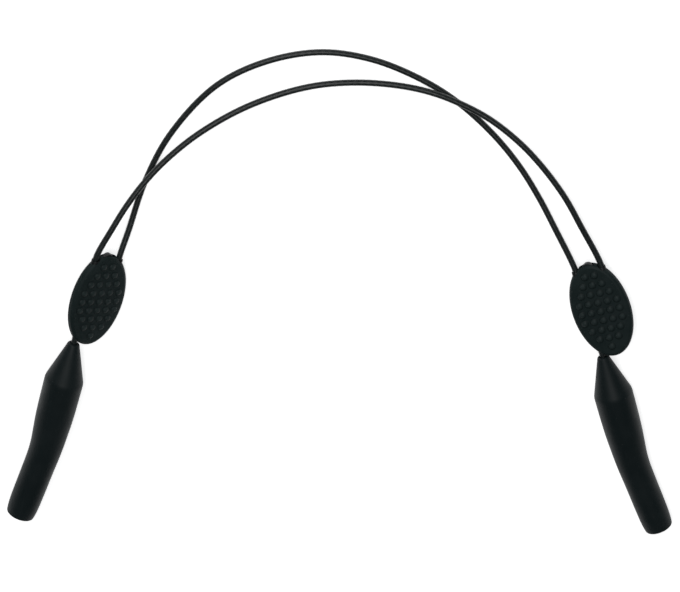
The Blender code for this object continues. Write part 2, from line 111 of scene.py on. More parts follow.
CUT_MARGIN = 1.0 * MM
SEAT_RADIUS = 1.2 * MM
CABLE_HOLE_RADIUS = 0.97 * MM
SEAT_SHOULDER = 7.6 * MM
ANCHOR_SHOULDER = 6.2 * MM
COLLAR_RADIUS = 1.15 * MM
COLLAR_START = 7.7 * MM
COLLAR_END = 12.7 * MM
TAB_HALF_WIDTH = 1.9 * MM
TAB_HALF_HEIGHT = 0.8 * MM
TAB_ROUND = 2.6 * MM
TAB_END = 14.55 * MM
PEG_OFFSET = 7.2 * MM
PEG_RADIUS = 0.62 * MM
PEG_HOLE_RADIUS = 1.42 * MM
SOCKET_RADIUS = 1.25 * MM
SOCKET_BORE_RADIUS = 0.75 * MM
GRIP_FERRULE_START = 8.8 * MM
FERRULE_LENGTH = 7.0 * MM
GRIP_LENGTH = 57.3 * MM
GRIP_BEND_START = 31.0 * MM
GRIP_BEND_END = 38.0 * MM
GRIP_BEND = math.radians(6.0)

# The free stretch of each cable between the adjusters, in millimetres, left to right.
CABLE_A_ROUTE = (
    (-58.45, 49.2, 2.9), (-53.75, 63.0, 1.4), (-46.5, 76.9, 0.90), (-33.8, 91.0, 0.88),
    (-20.2, 98.0, 0.88), (-5.3, 100.75, 0.88), (8.3, 98.8, 0.88), (21.5, 93.3, 0.88),
    (32.1, 86.4, 0.90), (42.0, 77.1, 1.2), (49.3, 68.1, 2.0), (54.9, 59.1, 3.0), (59.6, 50.1, 4.1),
)
CABLE_B_ROUTE = (
    (-62.85, 51.15, 7.3), (-58.6, 57.9, 6.3), (-53.55, 64.4, 5.0), (-47.15, 70.9, 3.7),
    (-38.9, 77.45, 2.5), (-27.6, 84.0, 1.3), (-16.2, 88.6, 0.90), (-5.8, 91.2, 0.88),
    (5.6, 92.0, 1.0), (16.8, 91.35, 1.9), (25.2, 89.7, 2.8), (32.1, 87.05, 3.1),
    (40.75, 82.5, 3.7), (48.9, 76.1, 4.5), (55.2, 69.4, 5.1), (61.8, 60.4, 5.8), (66.9, 51.1, 6.3),
)


# ------------------------------------------------------------------ places read from the frame
MOUTH_BAND = 1.0 * MM             # the corners this near a grip's far end are its mouth


def node_points(name):
    """The distinct corners of a CAD node, a row each."""
    corners = [vertex.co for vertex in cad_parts[name].data.vertices]
    return np.unique(np.round(np.array(corners, float), 7), axis=0)


def axis_line(name):
    """The middle of a turned CAD node, and the way its length points, towards the arch."""
    points = node_points(name)
    middle = points.mean(axis=0)
    along = np.linalg.svd(points - middle)[2][0]
    return Vector(middle), Vector(along if along[1] > 0 else -along)


def axes_matrix(origin, across, along):
    """A frame at origin with +Y along and +X across."""
    across = (across - along * across.dot(along)).normalized()
    columns = (across, along, across.cross(along), origin)
    return Matrix([[column[row] for column in columns] for row in range(3)] + [(0, 0, 0, 1)])


def adjuster_frame(side):
    """An adjuster's frame, in its middle, from its sleeve and its anchor ferrule."""
    sleeve, along = axis_line(f"{side}_friction_sleeve")
    anchor = axis_line(f"{side}_anchor_ferrule")[0]
    matrix = axes_matrix(sleeve, anchor - sleeve, along)
    return matrix @ Matrix.Translation((CHANNEL_OFFSET, 0, 0))


def grip_frame(side):
    """A grip's frame, at its tip, from its ferrule and its mouth, which leans to -X."""
    ferrule, along = axis_line(f"{side}_grip_ferrule")
    points = node_points(f"{side}_temple_grip")
    reach = points @ np.array(along)
    mouth = Vector(points[reach < reach.min() + MOUTH_BAND].mean(axis=0))
    tip = ferrule + along * (GRIP_FERRULE_START + FERRULE_LENGTH / 2)
    return axes_matrix(tip, ferrule - mouth, along)


# ------------------------------------------------------------------ camera and stage
def add_camera():
    camera = bpy.data.objects.new("camera", bpy.data.cameras.new("camera"))
    bpy.context.scene.collection.objects.link(camera)
    camera.data.lens = LENS
    camera.data.sensor_width = SENSOR
    camera.data.clip_start = CLIP_START
    camera.data.clip_end = CLIP_END
    distance = VIEW_WIDTH * LENS / SENSOR
    lean = Matrix.Rotation(-VIEW_LEAN, 4, "X")
    away = Matrix.Translation((0, 0, distance))
    camera.matrix_world = Matrix.Translation(VIEW_TARGET) @ lean @ away
    bpy.context.scene.camera = camera


def add_area_light(name, place, size, power):
    """A square soft light that faces the strap."""
    light = bpy.data.lights.new(name, "AREA")
    light.shape = "SQUARE"
    light.size = size
    light.energy = power
    obj = bpy.data.objects.new(name, light)
    bpy.context.scene.collection.objects.link(obj)
    obj.location = place
    obj.rotation_euler = (VIEW_TARGET - Vector(place)).to_track_quat("-Z", "Y").to_euler()


def add_stage():
    floor_bm = bmesh.new()
    bmesh.ops.create_circle(floor_bm, cap_ends=True, segments=96, radius=FLOOR_RADIUS)
    mesh = bpy.data.meshes.new("floor")
    floor_bm.to_mesh(mesh)
    floor_bm.free()
    floor = bpy.data.objects.new("floor", mesh)
    bpy.context.scene.collection.objects.link(floor)
    floor.location.z = CAD_BOX[0].z - FLOOR_DROP
    material = bpy.data.materials.new("floor_paper")
    material.use_nodes = True
    shader = material.node_tree.nodes["Principled BSDF"]
    shader.inputs["Base Color"].default_value = (0.9, 0.9, 0.9, 1.0)
    shader.inputs["Roughness"].default_value = 0.9
    shader.inputs["Specular IOR Level"].default_value = 0.0
    shader.inputs["Emission Color"].default_value = (1.0, 1.0, 1.0, 1.0)
    shader.inputs["Emission Strength"].default_value = FLOOR_GLOW
    floor.data.materials.append(material)

    world = bpy.data.worlds.new("studio")
    world.use_nodes = True
    background = world.node_tree.nodes["Background"]
    background.inputs["Color"].default_value = (0.95, 0.97, 1.0, 1.0)
    background.inputs["Strength"].default_value = WORLD_STRENGTH
    bpy.context.scene.world = world
    bpy.context.scene.view_settings.view_transform = "Standard"

    for name, place, size, power in LIGHTS:
        add_area_light(name, place, size, power)


# ------------------------------------------------------------------ materials
class Shading:
    """A Principled material and the nodes that feed it."""

    def __init__(self, name, colour, roughness, metallic=0.0, specular=0.5):
        self.material = bpy.data.materials.new(name)
        self.material.use_nodes = True
        self.tree = self.material.node_tree
        self.shader = self.tree.nodes["Principled BSDF"]
        self.shader.inputs["Base Color"].default_value = (*colour, 1.0)
        self.shader.inputs["Roughness"].default_value = roughness
        self.shader.inputs["Metallic"].default_value = metallic
        self.shader.inputs["Specular IOR Level"].default_value = specular
        self.bump = None

    def node(self, kind, **values):
        """A node, with values for its sockets, named with _ for spaces."""
        node = self.tree.nodes.new(kind)
        for name, value in values.items():
            socket = node.inputs[name.replace("_", " ")]
            if isinstance(value, bpy.types.NodeSocket):
                self.tree.links.new(value, socket)
            else:
                socket.default_value = value
        return node

    def coordinates(self, scale=(1.0, 1.0, 1.0), kind="Object"):
        """The piece's own coordinates, or its UV map, stretched."""
        source = self.tree.nodes.new("ShaderNodeTexCoord")
        return self.node("ShaderNodeMapping", Vector=source.outputs[kind], Scale=scale).outputs[0]

    def noise(self, vector, scale, detail=3.0, roughness=0.55):
        node = self.node("ShaderNodeTexNoise", Vector=vector, Scale=scale, Detail=detail,
                         Roughness=roughness)
        return node.outputs["Fac"]

    def remap(self, value, low, high, to_low, to_high):
        node = self.node("ShaderNodeMapRange", Value=value, From_Min=low, From_Max=high,
                         To_Min=to_low, To_Max=to_high)
        return node.outputs["Result"]

    def attribute(self, name):
        node = self.tree.nodes.new("ShaderNodeAttribute")
        node.attribute_name = name
        return node.outputs["Fac"]

    def paint(self, colour, factor, low, high):
        """Mixes a colour over the base colour where factor goes from low to high."""
        mix = self.tree.nodes.new("ShaderNodeMix")
        mix.data_type = "RGBA"
        base = self.shader.inputs["Base Color"]
        if base.is_linked:
            self.tree.links.new(base.links[0].from_socket, mix.inputs[6])
        else:
            mix.inputs[6].default_value = base.default_value
        mix.inputs[7].default_value = (*colour, 1.0)
        self.tree.links.new(self.remap(factor, low, high, 0.0, 1.0), mix.inputs[0])
        self.tree.links.new(mix.outputs[2], base)

    def vary_roughness(self, factor, low, high):
        self.tree.links.new(self.remap(factor, 0.3, 0.7, low, high), self.shader.inputs["Roughness"])

    def raise_surface(self, height, depth, strength=1.0):
        """Adds a bump of that depth in metres, on top of any before it."""
        bump = self.node("ShaderNodeBump", Height=height, Distance=depth, Strength=strength)
        if self.bump:
            self.tree.links.new(self.bump.outputs["Normal"], bump.inputs["Normal"])
        self.tree.links.new(bump.outputs["Normal"], self.shader.inputs["Normal"])
        self.bump = bump


def pad_rubber():
    """Moulded soft-touch rubber: fine grain, dust, a painted highlight on the bumps, painted shade round
    their feet.
    """
    shading = Shading("pad_rubber", (0.0098, 0.0172, 0.0174), 0.50, specular=0.10)
    place = shading.coordinates()
    cloud = shading.noise(place, 260.0, 4.0)
    shading.paint((0.0138, 0.0220, 0.0222), cloud, 0.42, 0.75)
    # Painted highlight: the bumps are painted paler, most on their tops.
    shading.paint((0.0210, 0.0310, 0.0310), shading.attribute("rise"), 0.10, 1.25)
    # Painted shade: a dark ring round the foot of each bump.
    shading.paint((0.0030, 0.0062, 0.0066), shading.attribute("foot"), 0.25, 1.5)
    dust = shading.noise(place, 2600.0, 2.0, 0.4)
    shading.paint((0.045, 0.053, 0.053), dust, 0.70, 0.78)
    shading.vary_roughness(cloud, 0.44, 0.58)
    shading.raise_surface(shading.noise(place, 5200.0, 3.0, 0.6), 0.020 * MM, 0.6)
    shading.raise_surface(shading.noise(place, 700.0, 2.0), 0.05 * MM, 0.35)
    return shading.material


def grip_rubber():
    """Smooth dark rubber with a faint drawn streak along the grip and a dry bloom."""
    shading = Shading("grip_rubber", (0.0050, 0.0096, 0.0106), 0.50, specular=0.16)
    place = shading.coordinates()
    cloud = shading.noise(place, 120.0, 4.0)
    shading.paint((0.0078, 0.0130, 0.0140), cloud, 0.45, 0.80)
    streak = shading.noise(shading.coordinates((1.0, 0.08, 1.0)), 1500.0, 3.0)
    shading.paint((0.0110, 0.0165, 0.0172), streak, 0.60, 0.95)
    dust = shading.noise(place, 2100.0, 2.0, 0.4)
    shading.paint((0.036, 0.043, 0.043), dust, 0.72, 0.80)
    shading.vary_roughness(cloud, 0.44, 0.60)
    shading.raise_surface(shading.noise(place, 4200.0, 3.0, 0.6), 0.015 * MM, 0.5)
    shading.raise_surface(streak, 0.02 * MM, 0.3)
    return shading.material


def cable_coating():
    """Semi-gloss polymer coat, slightly paler on the crests of the strands beneath as a painted highlight.
    """
    shading = Shading("cable_coating", (0.0068, 0.0104, 0.0104), 0.36, specular=0.34)
    around = shading.coordinates((60.0, 6.0, 1.0), "UV")
    scuff = shading.noise(around, 1.0, 4.0)
    shading.paint((0.013, 0.018, 0.018), scuff, 0.45, 0.80)
    place = shading.coordinates()
    shading.paint((0.0045, 0.0070, 0.0072), shading.noise(place, 90.0, 3.0), 0.50, 0.75)
    # Painted highlight: the crests of the strands are painted paler.
    shading.paint((0.020, 0.027, 0.027), shading.attribute("rise"), 0.6, 2.6)
    shading.vary_roughness(scuff, 0.32, 0.46)
    shading.raise_surface(shading.noise(place, 3000.0, 3.0), 0.012 * MM, 0.5)
    return shading.material


def frame_nylon():
    """Black glass-filled nylon."""
    shading = Shading("frame_nylon", (0.0055, 0.0070, 0.0075), 0.42, specular=0.2)
    place = shading.coordinates()
    shading.paint((0.013, 0.015, 0.016), shading.noise(place, 900.0, 4.0), 0.45, 0.75)
    shading.vary_roughness(shading.noise(place, 1600.0), 0.34, 0.52)
    shading.raise_surface(shading.noise(place, 4000.0, 3.0, 0.6), 0.015 * MM, 0.5)
    return shading.material


def sleeve_elastomer():
    """Grey elastomer with a fine, uneven grain."""
    shading = Shading("sleeve_elastomer", (0.030, 0.030, 0.032), 0.65, specular=0.35)
    place = shading.coordinates()
    shading.paint((0.045, 0.045, 0.047), shading.noise(place, 1200.0, 4.0), 0.4, 0.7)
    shading.vary_roughness(shading.noise(place, 800.0), 0.58, 0.74)
    shading.raise_surface(shading.noise(place, 3500.0), 0.02 * MM, 0.5)
    return shading.material


def brushed_steel(name, scale):
    """Bright drawn steel with fine lengthwise scratches."""
    shading = Shading(name, (0.50, 0.51, 0.52), 0.30, metallic=1.0)
    scratch = shading.noise(shading.coordinates(scale), 3000.0, 4.0)
    shading.paint((0.36, 0.37, 0.38), scratch, 0.45, 0.75)
    shading.vary_roughness(scratch, 0.22, 0.42)
    shading.raise_surface(scratch, 0.008 * MM, 0.4)
    return shading.material


# ------------------------------------------------------------------ mesh helpers
SHARP_ANGLE = math.radians(34)
BEVEL_ANGLE = math.radians(35)


def new_piece(name, mesh, material, place=None):
    """A shaded piece; its mesh is taken as it is, in the frame place."""
    mesh.name = name
    mesh.materials.clear()
    mesh.materials.append(material)
    mesh.shade_smooth()
    mesh.set_sharp_from_angle(angle=SHARP_ANGLE)
    obj = bpy.data.objects.new(name, mesh)
    bpy.context.scene.collection.objects.link(obj)
    obj.matrix_world = place or Matrix.Identity(4)
    return obj


def mesh_from(build):
    """A new mesh filled by build(bm)."""
    bm = bmesh.new()
    build(bm)
    bmesh.ops.recalc_face_normals(bm, faces=bm.faces)
    mesh = bpy.data.meshes.new("working")
    bm.to_mesh(mesh)
    bm.free()
    return mesh


def bridge(bm, lower, upper):
    """Quads between two closed rings of as many vertices."""
    count = len(lower)
    for i in range(count):
        j = (i + 1) % count
        bm.faces.new((lower[i], lower[j], upper[j], upper[i]))


def add_loft(bm, rings, capped=True):
    """A body through closed rings of points."""
    made = [[bm.verts.new(point) for point in ring] for ring in rings]
    for lower, upper in zip(made, made[1:]):
        bridge(bm, lower, upper)
    if capped:
        bm.faces.new(made[0])
        bm.faces.new(made[-1])
    return made


def ellipse(half_width, half_length, height, segments=96):
    angles = (math.tau * i / segments for i in range(segments))
    return [(half_width * math.cos(a), half_length * math.sin(a), height) for a in angles]


def add_rod(bm, start, end, radius, segments=32):
    """A cylinder between two points."""
    start, end = Vector(start), Vector(end)
    turn = (end - start).to_track_quat("Z", "Y").to_matrix().to_4x4()
    bmesh.ops.create_cone(
        bm, cap_ends=True, segments=segments, radius1=radius, radius2=radius,
        depth=(end - start).length, matrix=Matrix.Translation((start + end) / 2) @ turn)


def combine(base, steps, bevel=0.0):
    """Applies Boolean steps, each (operation, mesh), to the base mesh in turn."""
    collection = bpy.context.scene.collection
    target = bpy.data.objects.new("target", base)
    collection.objects.link(target)
    tools = []
    for operation, mesh in steps:
        tool = bpy.data.objects.new("tool", mesh)
        collection.objects.link(tool)
        tools.append(tool)
        modifier = target.modifiers.new(operation, "BOOLEAN")
        modifier.operation = operation
        modifier.solver = "EXACT"
        modifier.object = tool
    if bevel:
        edge = target.modifiers.new("edge", "BEVEL")
        edge.width = bevel
        edge.segments = 2
        edge.limit_method = "ANGLE"
        edge.angle_limit = BEVEL_ANGLE
    graph = bpy.context.evaluated_depsgraph_get()
    graph.update()
    mesh = bpy.data.meshes.new_from_object(target.evaluated_get(graph))
    for obj in [target, *tools]:
        bpy.data.objects.remove(obj, do_unlink=True)
    return mesh


# ------------------------------------------------------------------ adjusters
FACE_COLUMNS = 96
FACE_ROWS = 168
PARTING_ROUND = 0.12 * MM
PARTING_STEPS = 3
SHOULDER_LEAD = 0.4 * MM          # where the shoulder's curve starts, inside the face's edge
SHOULDER_LEAD_RISE = 0.02 * MM
SHOULDER_STEP = 0.11 * MM
SHOULDER_GAP = 0.02 * MM          # clear of the face's own last row
TAB_ROOT = 4.0 * MM               # the tab starts this far inside the frame's end
SLOT_OVERRUN = 4.0 * MM           # the tab's slot is cut this far past the pad
PEG_HOLE_REACH = 3.0 * MM
FRAME_BEVEL = 0.07 * MM
BUMP_FILLET = 0.07 * MM
FILLET_OFFSET = BUMP_FILLET / 40  # part of what the fillet adds to the flat face, taken off again
FOOT_SHADE_RADIUS = 1.02                  # at a bump's foot, where painted shade darkens the face, in bump radii
FOOT_SHADE_WIDTH = 0.16


def crown_height(x, y):
    """Height of a cover's smooth face above the parting plane."""
    across = (x / (PAD_HALF_WIDTH - FACE_INSET)) ** 2
    along = (y / (PAD_HALF_LENGTH - FACE_INSET)) ** 2
    return FACE_EDGE_HEIGHT + FACE_CROWN * (1.0 - across - along)


def bump_rise(x, y):
    """Height of the bumps over the smooth face, and nearness to a bump's foot for its painted shade, at
    points x, y.
    """
    rise = np.zeros_like(x)
    foot = np.zeros_like(x)
    middle = len(BUMP_ROWS) // 2
    for row, count in enumerate(BUMP_ROWS):
        bump_y = (middle - row) * BUMP_PITCH
        for i in range(count):
            bump_x = (i - (count - 1) / 2) * BUMP_PITCH
            span = np.hypot(x - bump_x, y - bump_y) / BUMP_RADIUS
            cap = BUMP_HALF_HEIGHT * np.sqrt(np.clip(1.0 - span ** 2, 0.0, 1.0)) - BUMP_SUNK
            rise = np.maximum(rise, (cap + np.sqrt(cap ** 2 + BUMP_FILLET ** 2)) / 2)
            foot = np.maximum(foot, np.exp(-((span - FOOT_SHADE_RADIUS) / FOOT_SHADE_WIDTH) ** 2))
    return rise - FILLET_OFFSET, foot


def shoulder_profile():
    """Inset and height round the cover's shoulder, from the face out to the parting round."""
    stations = [(FACE_INSET + SHOULDER_LEAD, FACE_EDGE_HEIGHT + SHOULDER_LEAD_RISE),
                (FACE_INSET, FACE_EDGE_HEIGHT)]
    stations += list(reversed(PAD_SHOULDER)) + [(0.0, PARTING_GAP + PARTING_ROUND)]
    points = [Vector((inset, height, 0.0)) for inset, height in stations]
    curve = smooth_path(points, SHOULDER_STEP)
    rows = [(max(p.x, 0.0), p.y) for p in curve if p.x < FACE_INSET - SHOULDER_GAP]
    for k in range(1, PARTING_STEPS + 1):
        angle = math.pi / 2 * k / PARTING_STEPS
        rows.append((PARTING_ROUND * (1 - math.cos(angle)),
                     PARTING_GAP + PARTING_ROUND * (1 - math.sin(angle))))
    return rows


def cover_body(bm):
    """A cover's outer form: the bumped face, the round shoulder and a flat underside."""
    u, v = np.meshgrid(np.linspace(-1, 1, FACE_COLUMNS + 1), np.linspace(-1, 1, FACE_ROWS + 1),
                       indexing="ij")
    disc_x = u * np.sqrt(1 - v ** 2 / 2)
    disc_y = v * np.sqrt(1 - u ** 2 / 2)
    x = disc_x * (PAD_HALF_WIDTH - FACE_INSET)
    y = disc_y * (PAD_HALF_LENGTH - FACE_INSET)
    rise, foot = bump_rise(x, y)
    z = crown_height(x, y) + rise
    # Painted highlight: each bump's rise, kept so the material paints the bumps paler.
    rise_highlight_layer = bm.verts.layers.float.new("rise")
    # Painted shade: nearness to each bump's foot, kept so the material paints a dark ring there.
    foot_shade_layer = bm.verts.layers.float.new("foot")
    grid = []
    for i in range(FACE_COLUMNS + 1):
        column = [bm.verts.new((x[i, j], y[i, j], z[i, j])) for j in range(FACE_ROWS + 1)]
        for j, vert in enumerate(column):
            vert[rise_highlight_layer] = rise[i, j] / (BUMP_HALF_HEIGHT - BUMP_SUNK)
            vert[foot_shade_layer] = foot[i, j]
        grid.append(column)
    for left, right in zip(grid, grid[1:]):
        for j in range(FACE_ROWS):
            bm.faces.new((left[j], right[j], right[j + 1], left[j + 1]))
    last_i, last_j = FACE_COLUMNS, FACE_ROWS
    border = [(i, 0) for i in range(last_i)] + [(last_i, j) for j in range(last_j)]
    border += [(i, last_j) for i in range(last_i, 0, -1)] + [(0, j) for j in range(last_j, 0, -1)]
    ring = [grid[i][j] for i, j in border]
    edge = [(disc_x[i, j], disc_y[i, j], z[i, j] - FACE_EDGE_HEIGHT) for i, j in border]
    for inset, height in shoulder_profile():
        share = inset / FACE_INSET
        outer = [bm.verts.new((across * (PAD_HALF_WIDTH - inset), along * (PAD_HALF_LENGTH - inset),
                               height + lift * share ** 2))
                 for across, along, lift in edge]
        bridge(bm, ring, outer)
        ring = outer
    bm.faces.new(ring)


def frame_sections(clearance=0.0):
    """The channel frame's body: a slab with chamfered faces."""
    rim_width = FRAME_HALF_WIDTH + clearance
    rim_length = FRAME_HALF_LENGTH + clearance
    top = FRAME_HALF_HEIGHT + clearance
    rim = FRAME_RIM_HALF_HEIGHT + clearance
    inner = (rim_width - FRAME_CHAMFER, rim_length - FRAME_CHAMFER)
    return ((*inner, -top), (rim_width, rim_length, -rim), (rim_width, rim_length, rim), (*inner, top))


def tab_outline(clearance, end, segments=24):
    """The tab as seen from above, from the frame's middle to its round end."""
    half_width = TAB_HALF_WIDTH + clearance
    start = end - TAB_ROUND
    points = []
    for i in range(segments + 1):
        angle = math.pi * i / segments
        points.append((half_width * math.cos(angle), start + TAB_ROUND * math.sin(angle)))
    root = FRAME_HALF_LENGTH - TAB_ROOT
    return points + [(-half_width, root), (half_width, root)]


def add_tab(bm, clearance, end):
    outline = tab_outline(clearance, end)
    height = TAB_HALF_HEIGHT + clearance
    add_loft(bm, [[(x, y, z) for x, y in outline] for z in (-height, height)])


def rods(places, radius):
    """A mesh of cylinders of one radius, each (start, end)."""
    def build(bm):
        for start, end in places:
            add_rod(bm, start, end, radius)
    return mesh_from(build)


def pegs(radius, low, high):
    return rods([((0, y, low), (0, y, high)) for y in (-PEG_OFFSET, PEG_OFFSET)], radius)


def cover_mesh(is_front):
    """A cover with its face up; the back cover is this one turned over about Y."""
    channel = -CHANNEL_OFFSET if is_front else CHANNEL_OFFSET
    reach = PAD_HALF_LENGTH + CUT_MARGIN
    start = COLLAR_START - FRAME_CLEARANCE
    collars = [((x, start, 0), (x, reach, 0)) for x in (-CHANNEL_OFFSET, CHANNEL_OFFSET)]
    ceiling = FRAME_HALF_HEIGHT + FRAME_CLEARANCE
    root = ceiling + ROOF_BITE
    hollow = mesh_from(lambda bm: add_loft(bm, [ellipse(*s) for s in frame_sections(FRAME_CLEARANCE)]))
    slot = mesh_from(lambda bm: add_tab(bm, FRAME_CLEARANCE, PAD_HALF_LENGTH + SLOT_OVERRUN))
    steps = [
        ("DIFFERENCE", hollow),
        ("DIFFERENCE", slot),
        ("DIFFERENCE", rods([((channel, -reach, 0), (channel, -start, 0))], CABLE_HOLE_RADIUS)),
        ("DIFFERENCE", rods(collars, COLLAR_RADIUS + FRAME_CLEARANCE)),
    ]
    if is_front:
        steps.append(("UNION", pegs(SOCKET_RADIUS, SOCKET_START, root)))
        steps.append(("DIFFERENCE", pegs(SOCKET_BORE_RADIUS, -CUT_MARGIN, ceiling)))
    else:
        steps.append(("UNION", pegs(PEG_RADIUS, -PEG_REACH, root)))
    return combine(mesh_from(cover_body), steps)


def channel_frame_mesh():
    """The frame between the covers, with its collars, tab, seats and peg holes."""
    sides = (-CHANNEL_OFFSET, CHANNEL_OFFSET)
    bottom = -FRAME_HALF_LENGTH - CUT_MARGIN
    top = COLLAR_END + CUT_MARGIN
    seats = [((-CHANNEL_OFFSET, bottom, 0), (-CHANNEL_OFFSET, SEAT_SHOULDER, 0)),
             ((CHANNEL_OFFSET, bottom, 0), (CHANNEL_OFFSET, ANCHOR_SHOULDER, 0))]
    steps = [
        ("UNION", rods([((x, COLLAR_START, 0), (x, COLLAR_END, 0)) for x in sides], COLLAR_RADIUS)),
        ("UNION", mesh_from(lambda bm: add_tab(bm, 0.0, TAB_END))),
        ("DIFFERENCE", rods(seats, SEAT_RADIUS)),
        ("DIFFERENCE", rods([((x, 0, 0), (x, top, 0)) for x in sides], CABLE_HOLE_RADIUS)),
        ("DIFFERENCE", pegs(PEG_HOLE_RADIUS, -PEG_HOLE_REACH, PEG_HOLE_REACH)),
    ]
    slab = mesh_from(lambda bm: add_loft(bm, [ellipse(*s) for s in frame_sections()]))
    return combine(slab, steps, FRAME_BEVEL)


def add_adjuster(side, place, meshes, materials):
    over = place @ Matrix.Rotation(math.pi, 4, "Y")
    body = f"{side}_adjuster"
    for name, matrix in (("front_cover", place), ("back_cover", over), ("channel_frame", place)):
        slot = "frame_nylon" if name == "channel_frame" else "pad_rubber"
        piece = new_piece(f"{side}_{name}_piece", meshes[name].copy(), materials[slot], matrix)
        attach(piece, body)
        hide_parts(f"{side}_{name}")


# ------------------------------------------------------------------ grips
GRIP_SIDES = 72
GRIP_STEP = 0.6 * MM
# Distance from the tip and outer diameter of the smooth body beyond the cone, in millimetres.
GRIP_BODY = (
    (12.8, 11.05), (19.0, 10.92), (25.0, 10.58), (29.0, 10.05), (33.0, 9.5), (37.0, 9.14), (43.0, 8.95),
    (50.0, 8.85), (53.5, 8.7), (56.0, 8.3), (57.3, 7.9),
)
TIP_RADIUS = 1.72 * MM
TIP_PROFILE = ((0.0, 1.25), (0.08, 1.5), (0.25, 1.66), (0.5, 1.78))   # distance and radius, mm
CONE_START = 0.4 * MM
CONE_FIRST_ROW = 1.0 * MM
CONE_END = 11.8 * MM
CONE_RADIUS = 5.5 * MM
CREASE_END = 12.8 * MM
CREASE_KNEE = (0.15 * MM, 0.05 * MM)      # how far the crease's bend point is past the cone's end
CREASE_STEPS = 6
BODY_ROWS = 72
MOUTH_STEPS = 6
MOUTH_LIP_RADIUS = 3.05 * MM
TIP_HOLE = (0.12 * MM, 1.1 * MM)
CREASE_ROUND = 0.5 * MM
MOUTH_ROUND = 0.55 * MM
# Distance from the tip and radius of the bore, in millimetres.
BORE_PROFILE = ((8.0, 1.1), (8.4, 1.75), (16.0, 1.75), (16.4, 2.7), (31.0, 2.7), (34.5, 2.7), (38.0, 2.7),
                (56.4, 2.7), (56.95, 2.85))


def grip_axis(distance):
    """A point of the grip's axis, measured from the tip, and the axis' direction there."""
    bent = min(max(distance - GRIP_BEND_START, 0.0), GRIP_BEND_END - GRIP_BEND_START)
    rate = GRIP_BEND / (GRIP_BEND_END - GRIP_BEND_START)
    angle = rate * bent
    beyond = max(distance - GRIP_BEND_END, 0.0)
    x = -(1.0 - math.cos(angle)) / rate - beyond * math.sin(angle)
    y = -min(distance, GRIP_BEND_START) - math.sin(angle) / rate - beyond * math.cos(angle)
    return Vector((x, y, 0.0)), Vector((-math.sin(angle), -math.cos(angle), 0.0))


def smooth_radius(distance):
    """The body's radius, eased between the given diameters."""
    rows = [(d * MM, diameter * MM / 2) for d, diameter in GRIP_BODY]
    xs = np.array([row[0] for row in rows])
    ys = np.array([row[1] for row in rows])
    slopes = np.gradient(ys, xs)
    k = int(np.clip(np.searchsorted(xs, distance) - 1, 0, len(xs) - 2))
    width = xs[k + 1] - xs[k]
    t = (distance - xs[k]) / width
    return float(ys[k] * (1 + 2 * t) * (1 - t) ** 2 + ys[k + 1] * t * t * (3 - 2 * t)
                 + width * (slopes[k] * t * (1 - t) ** 2 - slopes[k + 1] * t * t * (1 - t)))


def grip_outline():
    """Distance and radius down the outside: round tip, cone, crease, body and mouth rim."""
    tip = [(d * MM, r * MM) for d, r in TIP_PROFILE]
    slope = (CONE_RADIUS - TIP_RADIUS) / (CONE_END - CONE_START)
    start = CONE_END - CREASE_ROUND
    cone = [(d, TIP_RADIUS + slope * (d - CONE_START)) for d in np.arange(CONE_FIRST_ROW, start, GRIP_STEP)]
    low = TIP_RADIUS + slope * (start - CONE_START)
    high = smooth_radius(CREASE_END)
    knee = (CONE_END + CREASE_KNEE[0], CONE_RADIUS + CREASE_KNEE[1])
    crease = []
    for k in range(CREASE_STEPS + 1):
        t = k / CREASE_STEPS
        crease.append(tuple((1 - t) ** 2 * a + 2 * t * (1 - t) * b + t * t * c
                            for a, b, c in zip((start, low), knee, (CREASE_END, high))))
    body_end = GRIP_LENGTH - MOUTH_ROUND
    body = [(d, smooth_radius(d)) for d in np.linspace(CREASE_END + GRIP_STEP, body_end, BODY_ROWS)]
    mouth = []
    for k in range(1, MOUTH_STEPS + 1):
        angle = math.pi / 2 * k / MOUTH_STEPS
        mouth.append((body_end + MOUTH_ROUND * math.sin(angle),
                      smooth_radius(body_end) - MOUTH_ROUND * (1 - math.cos(angle))))
    return tip + cone + crease + body + mouth


def grip_bore():
    """Distance and radius up the inside, from the mouth to the tip hole."""
    rows = [(d * MM, r * MM) for d, r in reversed(BORE_PROFILE)]
    return [(GRIP_LENGTH, MOUTH_LIP_RADIUS)] + rows + [TIP_HOLE]


def grip_body(bm):
    rings = []
    for distance, radius in grip_outline() + grip_bore():
        centre, along = grip_axis(distance)
        across = Vector((-along.y, along.x, 0.0))
        angles = (math.tau * i / GRIP_SIDES for i in range(GRIP_SIDES))
        rings.append([centre + float(radius) * (math.cos(a) * across + Vector((0, 0, math.sin(a))))
                      for a in angles])
    made = add_loft(bm, rings, capped=False)
    bridge(bm, made[-1], made[0])


def add_grip(side, place, mesh, material):
    grip = new_piece(f"{side}_temple_grip_piece", mesh.copy(), material, place)
    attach(grip, f"{side}_grip")
    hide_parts(f"{side}_temple_grip")


# ------------------------------------------------------------------ cables
CABLE_SIDES = 24
STRANDS = 6
STRAND_RIDGE = 0.012 * MM
JACKET_RADIUS = CABLE_RADIUS + 0.025 * MM   # over the strands' crests
LAY_LENGTH = 11.0 * MM
CABLE_STEP = 0.45 * MM
TAIL_STEP = 0.15 * MM
SPLIT_Y = 2.0 * MM
SPLIT_GAP = 2                     # the tail starts this many points after the span's last
CORE_SIDES = 18
CORE_RIDGE = 0.06 * MM
CORE_STRIDE = 2                   # the span's core takes every second point of the path
INNER_STRIDE = 6                  # the jacket's bore takes every sixth
CURVE_STEPS = 40
MAP_LENGTH = 100.0 * MM           # one width of the UV map
# Where a cable passes, along its own adjuster, the other one and the far grip, in millimetres.
OWN_STATIONS = (-0.8, 5.0, 10.0, 14.0)
OTHER_STATIONS = (14.0, 10.0, 5.0, -5.0, -10.0, -12.5)
GRIP_STATIONS = (2.0, 5.0, 10.0, 15.8)


